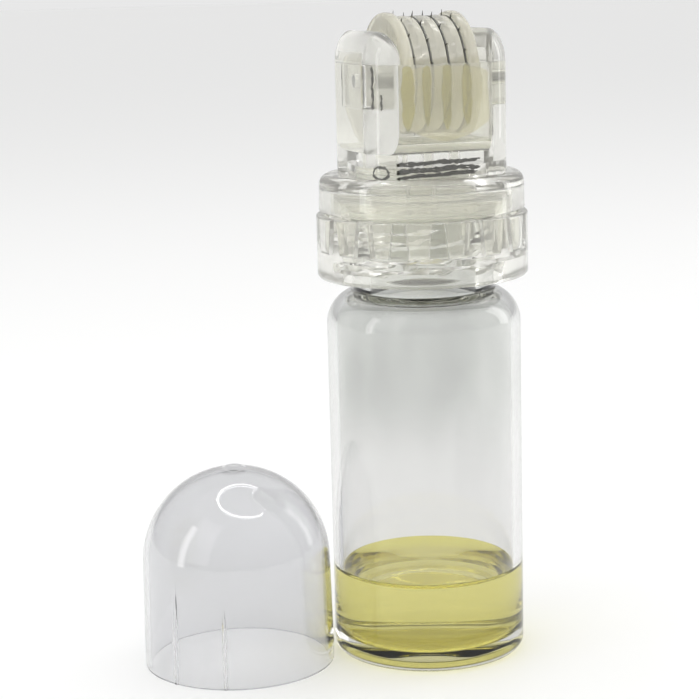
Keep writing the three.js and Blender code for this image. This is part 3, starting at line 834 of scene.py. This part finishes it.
class MakeHead(RollerOperator, bpy.types.Operator):
    """Make the head: a ring and a block with a trough, two bush pockets, a bore and its outlets."""

    bl_idname = "roller.make_head"
    bl_label = "Roller head"

    def execute(self, context):
        vial, head = sizes(VialSizes), sizes(HeadSizes)
        low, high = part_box("head_body")
        radius, bottom, wall_top = high.x, low.z, high.z
        lip_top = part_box("screw_collar")[1].z
        ceiling = lip_top + head.running
        ring_top = ceiling + head.roof
        sleeve = vial.neck_radius + vial.thread_height + head.running + head.sleeve_wall
        half_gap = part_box("arm_cap_right")[0].x
        half_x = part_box("arm_cap_right")[1].x
        trough = trough_radius()
        half_wall = trough + head.trough_wall
        half_y = half_wall + head.proud
        bore_top = AXLE_Z - trough - head.trough_floor
        ring = rounded(
            [
                (0, ceiling, 0),
                (sleeve + head.running, ceiling, 0.3 * MM),
                (sleeve + head.running, bottom, 0.2 * MM),
                (radius, bottom, 0.3 * MM),
                (radius - 0.12 * MM, ring_top, head.ring_edge),
                (0, ring_top, 0),
            ],
            steps=10,
        )
        body = turned("head", ring, turns=192)
        outline = rounded_rectangle(half_x, half_y, head.corner)
        block = prism("block", outline, ring_top - 0.8 * MM, wall_top, "Z")
        over = 1 * MM
        hollow = slot_outline(trough, AXLE_Z - trough, wall_top + over, head.trough_corner)
        cutters = [prism("trough", hollow, -half_gap, half_gap, "X")]
        for side in (-1, 1):
            turn = np.linspace(0, math.pi / 2, 9)
            edge_x = half_gap + head.arm_edge * (1 - np.cos(turn))
            edge_y = half_wall + (head.proud + 0.01 * MM) * np.sin(turn)
            right = np.stack([edge_x, edge_y], 1)
            left = right[::-1] * (-1, 1)
            far_x, far_y = half_gap + head.arm_edge, half_y + over
            beyond = np.array([(far_x, far_y), (-far_x, far_y)])
            face = np.concatenate([right, beyond, left]) * (1, side)
            cutters.append(prism("setback", face, ring_top, wall_top + over, "Z"))
            bush_low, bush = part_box("axle_bush_right")
            foot_z = bush_low.z - head.slip
            pocket = slot_outline(bush.y + head.slip, foot_z, wall_top + over, head.bush_corner)
            reach = sorted((side * (half_gap - over), side * (bush.x + head.slip)))
            cutters.append(prism("pocket", pocket, *reach, "X"))
        circle = TAU * np.arange(128) / 128
        bore = (head.spigot + head.slip) * np.stack([np.cos(circle), np.sin(circle)], 1)
        cutters.append(prism("bore", bore, ceiling - over, bore_top, "Z"))
        small = head.outlet * np.stack([np.cos(circle[::4]), np.sin(circle[::4])], 1)
        for k in (-1, 0, 1):
            shifted = small + np.array((k * head.outlet_spacing, 0))
            cutters.append(prism("outlet", shifted, bore_top - over, AXLE_Z, "Z"))
        obj = carved(body, cutters, [block])
        place(obj, "head", "clear_plastic", MATERIALS["plastic"], "head_body")
        return {"FINISHED"}


class MakeArmCaps(RollerOperator, bpy.types.Operator):
    """Make the arms' domed caps. Their height is a quarter circle of the distance from the block's outer
    boundary, blended into a quarter ellipse of the distance from the drum by a smooth minimum."""

    bl_idname = "roller.make_arm_caps"
    bl_label = "Arm caps"

    def execute(self, context):
        head = sizes(HeadSizes)
        for node in ("arm_cap_left", "arm_cap_right"):
            low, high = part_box(node)
            side = -1 if high.x < 0 else 1
            inner, outer = sorted((abs(low.x), abs(high.x)))
            base, rise = low.z + head.seam, high.z - low.z - head.seam
            half_y = trough_radius() + head.trough_wall + head.proud
            corner_x, corner_y = outer - head.corner, half_y - head.corner
            tip = corner_y + math.sqrt(head.corner**2 - (inner - corner_x) ** 2)
            y = tip * np.sin(np.linspace(-math.pi / 2, math.pi / 2, 121))
            past = np.clip(np.abs(y) - corner_y, 0, None)
            edge = corner_x + np.sqrt(np.clip(head.corner**2 - past**2, 0, None))
            share = np.sin(np.linspace(math.pi / 2, 0, 49))
            x = inner + share * (edge - inner)[:, None]
            from_edge = head.corner - np.hypot(x - corner_x, past[:, None])
            from_drum = x - inner
            round_out = np.clip(from_edge / head.cap_round, 0, 1)
            round_in = np.clip(from_drum / head.cap_inner, 0, 1)
            outside = np.sqrt(1 - (1 - round_out) ** 2) + 1e-6
            inside = 0.1 + 0.9 * np.sqrt(1 - (1 - round_in) ** 2)
            height = (outside**-8.0 + inside**-8.0) ** (-1 / 8)
            height *= np.sqrt(round_out > 0) / height.max()
            foot = inner + np.array((0, 0.5)) * (edge - inner)[:, None]
            x = side * np.concatenate([foot, x], 1)
            z = base + rise * np.concatenate([np.zeros_like(foot), height], 1)
            grid = np.stack([x, np.broadcast_to(y[:, None], x.shape), z], -1)
            obj = surface("arm_dome_" + node.split("_")[-1], grid)
            place(obj, "head", "clear_plastic", MATERIALS["plastic"], node)
        return {"FINISHED"}


class MakeBushes(RollerOperator, bpy.types.Operator):
    """Make the axle and the two bushes that hold it in the arms."""

    bl_idname = "roller.make_bushes"
    bl_label = "Axle and bushes"

    def execute(self, context):
        drum, head = sizes(DrumSizes), sizes(HeadSizes)
        low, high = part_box("axle")
        radius = (high.z - low.z) / 2
        axle = rounded([(0, low.x, 0), (radius, low.x, 0.2 * MM), (radius, high.x, 0.2 * MM), (0, high.x, 0)])
        obj = surface("axle_pin", about_axle(turned_grid(axle, 48)))
        place(obj, "head", "needle_steel", MATERIALS["steel"], "axle")
        for side in ("left", "right"):
            node = "axle_bush_" + side
            low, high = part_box(node)
            outline = slot_outline(high.y, low.z, high.z, head.bush_corner)
            body = prism("bush_" + side, outline, low.x, high.x, "X")
            circle = TAU * np.arange(48) / 48
            hole = (radius + drum.clearance) * np.stack([np.cos(circle), np.sin(circle)], 1) + (0, AXLE_Z)
            bore = prism("bore", hole, low.x - MM, high.x + MM, "X")
            obj = carved(body, [bore])
            place(obj, "head", "drum_plastic", MATERIALS["plastic"], node)
        return {"FINISHED"}


class MakeDrum(RollerOperator, bpy.types.Operator):
    """Make the drum: a core, clear discs with rounded rims and steel discs with needles at their rims."""

    bl_idname = "roller.make_drum"
    bl_label = "Needle drum"

    def ring(self, name, inner, outer, low, high, edge, crown):
        """A disc turned about the axle, whose rim is a little crowned."""
        middle = (low + high) / 2
        profile = rounded(
            [
                (inner, low, 0),
                (outer - crown, low, edge),
                (outer, middle, (high - low) * 0.8),
                (outer - crown, high, edge),
                (inner, high, 0),
                (inner, low, 0),
            ],
            steps=7,
        )
        grid = turned_grid(profile[:-1], 144)
        return surface(name, about_axle(grid), wrap_u=True)

    def needle_disc(self, name, node, index, drum):
        """A thin ring. Its outer radius is the rim's, plus a needle's height, which falls linearly from
        the needle's middle to its sides, and its thickness runs out towards the needles' points."""
        low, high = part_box(node)
        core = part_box("drum_core")[1].y + drum.clearance
        tip = max(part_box("needle_disc_1")[1].z - AXLE_Z, 0)
        rim = tip - drum.needle_length - 0.06 * MM
        pitch = TAU / drum.needles
        phase = pitch * index / 4
        steps = np.array((-0.5, -0.25, 0)) * drum.needle_width / rim
        offsets = np.concatenate([[-pitch / 2, -pitch / 4], steps, -steps[:-1][::-1], [pitch / 4]])
        shape = np.concatenate([[0, 0], [0, 0.42, 1], [0.42, 0], [0]])
        angles = (phase + pitch * np.arange(drum.needles)[:, None] + offsets).ravel()
        needle = np.tile(shape, drum.needles)
        rise = (tip - rim) * needle
        half = 0.35 * (high.x - low.x)
        middle = (high.x + low.x) / 2
        levels = np.array(((0, 1), (1, 1), (1, 0.9), (1, -0.9), (1, -1), (0, -1)), float)
        r = core + levels[:, :1] * (rim - core + rise[None] * np.array((0, 0, 1, 1, 0, 0))[:, None])
        thin = 1 - 0.75 * needle[None] * np.array((0, 0, 1, 1, 0, 0))[:, None]
        x = middle + half * levels[:, 1:] * thin
        lean = drum.lean * needle[None] * np.array((0, 0, 1, 1, 0, 0))[:, None]
        turn = angles[None] + lean
        grid = np.stack([r * np.cos(turn), r * np.sin(turn), x], -1)
        return surface(name, about_axle(grid), wrap_u=True)

    def execute(self, context):
        drum = sizes(DrumSizes)
        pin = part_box("axle")[1].y + drum.clearance
        low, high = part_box("drum_core")
        core = high.y
        tube = rounded(
            [
                (pin, low.x, 0),
                (core, low.x, 0.2 * MM),
                (core, high.x, 0.2 * MM),
                (pin, high.x, 0),
                (pin, low.x, 0),
            ]
        )
        obj = surface("core_sleeve", about_axle(turned_grid(tube[:-1], 96)), wrap_u=True)
        place(obj, "drum", "drum_plastic", MATERIALS["drum"], "drum_core")
        for k in (1, 2, 3):
            node = f"spacer_disc_{k}"
            low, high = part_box(node)
            obj = self.ring(f"spacer_{k}", core + drum.clearance, high.y, low.x, high.x, drum.edge, 0.08 * MM)
            place(obj, "drum", "drum_plastic", MATERIALS["drum"], node)
        for side in ("left", "right"):
            node = "end_disc_" + side
            low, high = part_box(node)
            obj = self.ring(f"end_plate_{side}", core + drum.clearance, high.y, low.x, high.x, drum.end_edge,
                            0.15 * MM)
            place(obj, "drum", "drum_plastic", MATERIALS["drum"], node)
        for k in (1, 2, 3, 4):
            node = f"needle_disc_{k}"
            obj = self.needle_disc(f"needles_{k}", node, k - 1, drum)
            place(obj, "drum", "needle_steel", MATERIALS["steel"], node)
        return {"FINISHED"}


class MakeCap(RollerOperator, bpy.types.Operator):
    """Make the domed cap: a thin turned shell with the mark of its moulding gate on the crown."""

    bl_idname = "roller.make_cap"
    bl_label = "Domed cap"

    def execute(self, context):
        cap = sizes(CapSizes)
        low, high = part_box("dome_cap")
        centre = ((low.x + high.x) / 2, (low.y + high.y) / 2, 0)
        mouth = (high.x - low.x) / 2 - cap.mould_line
        dome = mouth - cap.taper
        quarter = np.linspace(0, math.pi / 2, 40)
        top = cap.side + dome
        outer = np.stack([dome * np.cos(quarter), cap.side + dome * np.sin(quarter)], 1)
        thin = dome - cap.wall
        inner = np.stack([thin * np.cos(quarter), cap.side + thin * np.sin(quarter)], 1)[::-1]
        nub = np.clip((cap.gate_radius - outer[:, 0]) / (0.3 * MM), 0, 1)
        outer[:, 1] += cap.gate_height * nub * (3 - 2 * nub) * nub
        outer[:, 1] = np.minimum(outer[:, 1], high.z)
        rim = rounded(
            [(mouth - cap.wall, 0.6 * MM, 0), (mouth - cap.wall, 0, 0.2 * MM), (mouth, 0, 0.2 * MM),
             (mouth, 0.6 * MM, 0)],
            steps=5,
        )
        profile = np.concatenate([inner[:-1], subdivided(np.array([inner[-1], rim[0]]), 1.5 * MM), rim[1:-1],
                                  subdivided(np.array([rim[-1], outer[0]]), 1.5 * MM), outer[1:]])
        profile[0, 0] = profile[-1, 0] = 0
        def mould_lines(radius, height, angle):
            """Fine ridges up the side at two bearings, which fade out towards the dome."""
            total = np.zeros_like(radius)
            for bearing in cap.mould_bearings:
                off = np.abs((angle - bearing + math.pi) % TAU - math.pi) * mouth
                total = np.maximum(total, np.clip(1 - off / (0.2 * MM), 0, 1))
            fade = np.clip((cap.side * 0.95 - height) / (4 * MM), 0, 1)
            outwards = np.where(radius > mouth - 0.5 * cap.wall, 1, -1.5)
            return cap.mould_line * total * fade * outwards

        obj = turned("cap_dome", profile, turns=720, ridge=mould_lines, centre=centre)
        place(obj, "cap", "clear_plastic", MATERIALS["cap"], "dome_cap")
        return {"FINISHED"}


class MakeResidue(RollerOperator, bpy.types.Operator):
    """Make the dark strands under the trough, a dark loop beside them, four strands in the left arm, and
    the yellow films in front of the discs. What they are made of and how deep they lie is a guess. The
    strands lie inside the head's own plastic, apart from one end of each long one, and in no joint.
    Each strand is a thin tube along a wandering line."""

    bl_idname = "roller.make_residue"
    bl_label = "Serum residue"

    def strand(self, name, line, thick, seed, flat=0.5, closed=False):
        """A flattened tube along a line of points, whose middle and width wander. Its width is a sum of
        three sines and of random steps, and it runs out at both ends unless the line is closed."""
        rng = np.random.default_rng(seed)
        t = np.linspace(0, 1, len(line), endpoint=not closed)
        along = np.gradient(line, axis=0)
        along /= np.linalg.norm(along, axis=1)[:, None]
        across = np.cross(along, (0.0, 1.0, 0.0))
        waves = sum(a * np.sin(TAU * (f * t + rng.random())) for f, a in ((2, 1.0), (5, 0.6), (13, 0.35)))
        line = line + 0.3 * thick * waves[:, None] * across
        wander = 1 + 0.5 * np.interp(t, np.linspace(0, 1, 31), rng.uniform(-1, 1, 31))
        radius = thick * wander
        if not closed:
            radius = radius * (np.clip(t / 0.02, 0, 1) * np.clip((1 - t) / 0.05, 0, 1)) ** 0.5
        around = (TAU * np.arange(10) / 10)[None, :, None]
        ring = across[:, None] * np.cos(around) + flat * np.array((0.0, 1.0, 0.0)) * np.sin(around)
        grid = line[:, None, :] + radius[:, None, None] * ring
        obj = surface(name, grid, wrap_u=closed)
        place(obj, "head", "serum", MATERIALS["residue"])

    def film(self, name, x, width, low, high, y, thick, seed, finish="film"):
        """An upright sheet with rounded edges, whose left and right edges wander and whose ends taper."""
        rng = np.random.default_rng(seed)
        v = np.linspace(0, 1, 50)
        knots = np.linspace(0, 1, 9)
        wander = 0.12 * MM
        left = x - width / 2 - wander * np.interp(v, knots, rng.uniform(-1, 1, 9))
        right = x + width / 2 + wander * np.interp(v, knots, rng.uniform(-1, 1, 9))
        ends = np.sqrt(np.clip(1 - np.abs(2 * v - 1) ** 12, 0, 1)) * np.clip(v / 0.25, 0, 1) ** 0.5
        centre, half = (left + right) / 2, (right - left) / 2 * ends
        around = TAU * np.arange(16) / 16
        px = centre[:, None] + half[:, None] * np.sign(np.cos(around)) * np.abs(np.cos(around)) ** 0.5
        py = y + thick / 2 * ends[:, None] * np.sin(around)
        pz = np.broadcast_to((low + (high - low) * v)[:, None], px.shape)
        obj = surface(name, np.stack([px, py, pz], -1))
        place(obj, "head", "serum", MATERIALS[finish])

    def execute(self, context):
        head = sizes(HeadSizes)
        trough = trough_radius()
        floor = AXLE_Z - trough
        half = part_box("arm_cap_right")[0].x
        t = np.linspace(0, 1, 120)[:, None]
        front = -(trough + head.trough_wall - 0.2 * MM)
        lines = (
            (-0.78, -0.60, 1.0),
            (-0.98, -0.68, 1.0),
            (-1.50, -1.24, 0.9),
            (-1.74, -1.46, 1.0),
            (-2.26, -1.86, 1.0),
            (-2.34, -2.10, 0.6),
        )
        for k, (left, right, thick) in enumerate(lines):
            start = np.array((-half - 0.6 * MM, front, floor + left * MM))
            end = np.array((half - (1.5 + 0.3 * (k % 3)) * MM, front, floor + right * MM))
            self.strand(f"residue_{k + 1}", start + (end - start) * t, 0.15 * MM * thick, 11 + k, 0.6)
        turn = TAU * np.arange(120) / 120
        # deep enough in the head that no part of the loop comes through its surface
        loop_x, loop_y, loop_z = -6.54 * MM, -5.75 * MM, floor - 1.85 * MM
        loop_wide, loop_tall = 0.9 * MM, 0.7 * MM
        ring_x, ring_z = loop_x + loop_wide * np.cos(turn), loop_z + loop_tall * np.sin(turn)
        loop = np.stack([ring_x, np.full(len(turn), loop_y), ring_z], -1)
        self.strand("residue_bubble", loop, 0.14 * MM, 31, 0.6, closed=True)
        low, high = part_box("axle_bush_left")[0].z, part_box("axle_bush_left")[1].z
        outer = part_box("arm_cap_right")[1].x
        corner_x = outer - head.corner
        corner_y = trough + head.trough_wall + head.proud - head.corner
        deep = head.corner - 0.3 * MM
        streaks = (("1", 4, 1.0, 0.1), ("2", 25.5, 1.0, 0.17), ("3", 41, 0.36, 0.12))
        for name, bearing, share, thick in streaks:
            x = -corner_x - deep * math.cos(math.radians(bearing))
            y = -corner_y - deep * math.sin(math.radians(bearing))
            start, end = np.array((x, y, low + share * (high - low))), np.array((x, y, low))
            self.strand(f"residue_arm_{name}", start + (end - start) * t, thick * MM, 40 + int(name), 0.5)
        start = np.array((-outer + 0.3 * MM, 2.7 * MM, high))
        self.strand("residue_arm_4", start + (low - high) * t * (0, 0, 1), 0.12 * MM, 44, 0.5)
        # films and sheen share the gap between the wall and the circle that the needle tips sweep
        film_thick, sheen_thick, apart = 0.12 * MM, 0.05 * MM, 0.02 * MM
        wall = -(trough - apart - film_thick / 2)
        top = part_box("head_body")[1].z
        for k, (x, width) in enumerate(((-4.3, 1.35), (-2.1, 0.9), (0.2, 1.1), (2.5, 1.05))):
            low = floor + (2.6 + 0.5 * (k % 2)) * MM
            name, film_top = f"serum_film_{k + 1}", top - 0.1 * MM
            self.film(name, x * MM, width * MM, low, film_top, wall, film_thick, 21 + k)
        wide, behind = 2 * half - 0.7 * MM, wall + (film_thick + sheen_thick) / 2 + apart
        sheen_low, sheen_top = floor + 1.4 * MM, top - 0.2 * MM
        self.film("serum_sheen", 0, wide, sheen_low, sheen_top, behind, sheen_thick, 29, "sheen")
        return {"FINISHED"}


class MakeStage(RollerOperator, bpy.types.Operator):
    """Make the floor, the lights and the camera."""

    bl_idname = "roller.make_stage"
    bl_label = "Stage"

    def lamp(self, name, at, target, size, power, colour=(1, 1, 1)):
        data = bpy.data.lights.new(name, "AREA")
        data.shape = "RECTANGLE"
        data.size, data.size_y = size
        data.energy = power
        data.color = colour
        lamp = bpy.data.objects.new(name, data)
        bpy.context.scene.collection.objects.link(lamp)
        lamp.location = at
        lamp.rotation_euler = (Vector(target) - Vector(at)).to_track_quat("-Z", "Y").to_euler()

    def ring_lamp(self, stage):
        """Small round lamps on most of a circle over the object, which faces down on it."""
        angles = np.linspace(math.radians(32), math.radians(308), stage.ring_lamps)
        x = stage.ring_centre[0] + stage.ring_radius * np.cos(angles)
        y = stage.ring_centre[1] + stage.ring_radius * np.sin(angles)
        for k, at in enumerate(zip(x, y)):
            data = bpy.data.lights.new(f"ring_{k}", "AREA")
            data.shape = "DISK"
            data.size = stage.ring_lamp_size
            data.energy = stage.ring_power / stage.ring_lamps
            lamp = bpy.data.objects.new(f"ring_{k}", data)
            bpy.context.scene.collection.objects.link(lamp)
            lamp.location = (*at, stage.ring_centre[2])

    def surroundings(self, stage):
        """A room that is bright overhead and darker towards the horizon, and pale where it is seen."""
        world = bpy.data.worlds.new("room")
        bpy.context.scene.world = world
        world.use_nodes = True
        tree = world.node_tree
        background = tree.nodes["Background"]
        direction = tree.nodes.new("ShaderNodeTexCoord")
        split = tree.nodes.new("ShaderNodeSeparateXYZ")
        tree.links.new(direction.outputs["Generated"], split.inputs["Vector"])
        height = ramp(tree, split.outputs["Z"], stage.horizon_light, stage.zenith_light, 0.0, 0.6)
        path = tree.nodes.new("ShaderNodeLightPath")
        seen = tree.nodes.new("ShaderNodeMix")
        seen.inputs["B"].default_value = stage.sky
        tree.links.new(path.outputs["Is Camera Ray"], seen.inputs["Factor"])
        tree.links.new(height, seen.inputs["A"])
        tree.links.new(seen.outputs["Result"], background.inputs["Strength"])
        background.inputs["Color"].default_value = (1, 1, 1, 1)

    def execute(self, context):
        stage = sizes(StageSizes)
        scene = context.scene
        material, tree, shader = new_material("floor")
        shader.inputs["Base Color"].default_value = (*stage.floor, 1)
        shader.inputs["Roughness"].default_value = 0.6
        reach = 6.0
        corners = np.array(((-reach, -reach, 0), (reach, -reach, 0), (reach, reach, 0), (-reach, reach, 0)))
        mesh = bpy.data.meshes.new("floor")
        mesh.from_pydata(corners - np.array((0, 0, 0.02 * MM)), [], [(0, 1, 2, 3)])
        mesh.materials.append(material)
        floor = bpy.data.objects.new("floor", mesh)
        scene.collection.objects.link(floor)
        middle = (0, 0, 0.035)
        self.ring_lamp(stage)
        self.lamp("window", (-0.75, -0.35, 0.50), (0, 0, 0.04), (0.5, 0.9), 0.9)
        self.lamp("side", (0.85, 0.15, 0.45), (0, 0, 0.04), (0.4, 0.9), 0.7)
        self.lamp("strip_left", (-0.42, -0.02, 0.16), (0, 0, 0.03), (0.07, 0.34), 0.2)
        self.lamp("strip_right", (0.44, 0.02, 0.18), (0, 0, 0.03), (0.07, 0.34), 0.17)
        self.surroundings(stage)
        data = bpy.data.cameras.new("camera")
        data.lens = stage.lens
        data.sensor_width = 36
        data.clip_start = 0.01
        camera = bpy.data.objects.new("camera", data)
        scene.collection.objects.link(camera)
        forward = Vector(
            (
                math.sin(stage.heading) * math.cos(stage.pitch),
                math.cos(stage.heading) * math.cos(stage.pitch),
                -math.sin(stage.pitch),
            )
        )
        turn = forward.to_track_quat("-Z", "Y").to_matrix().to_4x4()
        camera.matrix_world = Matrix.Translation(stage.camera) @ turn @ Matrix.Rotation(stage.roll, 4, "Z")
        scene.camera = camera
        scene.view_settings.view_transform = "Standard"
        scene.cycles.max_bounces = 32
        scene.cycles.transmission_bounces = 32
        scene.cycles.transparent_max_bounces = 32
        return {"FINISHED"}


OPERATORS = (
    MakeMaterials,
    MakeStage,
    MakeVial,
    MakeSerum,
    MakeCollar,
    MakeFeed,
    MakeHead,
    MakeArmCaps,
    MakeBushes,
    MakeDrum,
    MakeResidue,
    MakeCap,
)


class RollerPanel(bpy.types.Panel):
    """The steps that make the derma roller, in order."""

    bl_idname = "VIEW3D_PT_derma_roller"
    bl_label = "Derma roller"
    bl_space_type = "VIEW_3D"
    bl_region_type = "UI"
    bl_category = "Derma roller"

    def draw(self, context):
        for operator in OPERATORS:
            self.layout.operator(operator.bl_idname)


def register():
    for cls in (*SIZES, *OPERATORS, RollerPanel):
        bpy.utils.register_class(cls)
    for kind, name in SIZE_NAMES.items():
        setattr(bpy.types.Scene, name, PointerProperty(type=kind))


def unregister():
    for name in SIZE_NAMES.values():
        delattr(bpy.types.Scene, name)
    for cls in reversed((*SIZES, *OPERATORS, RollerPanel)):
        bpy.utils.unregister_class(cls)


def main():
    register()
    for operator in OPERATORS:
        group, name = operator.bl_idname.split(".")
        getattr(getattr(bpy.ops, group), name)()


if __name__ == "__main__":
    main()
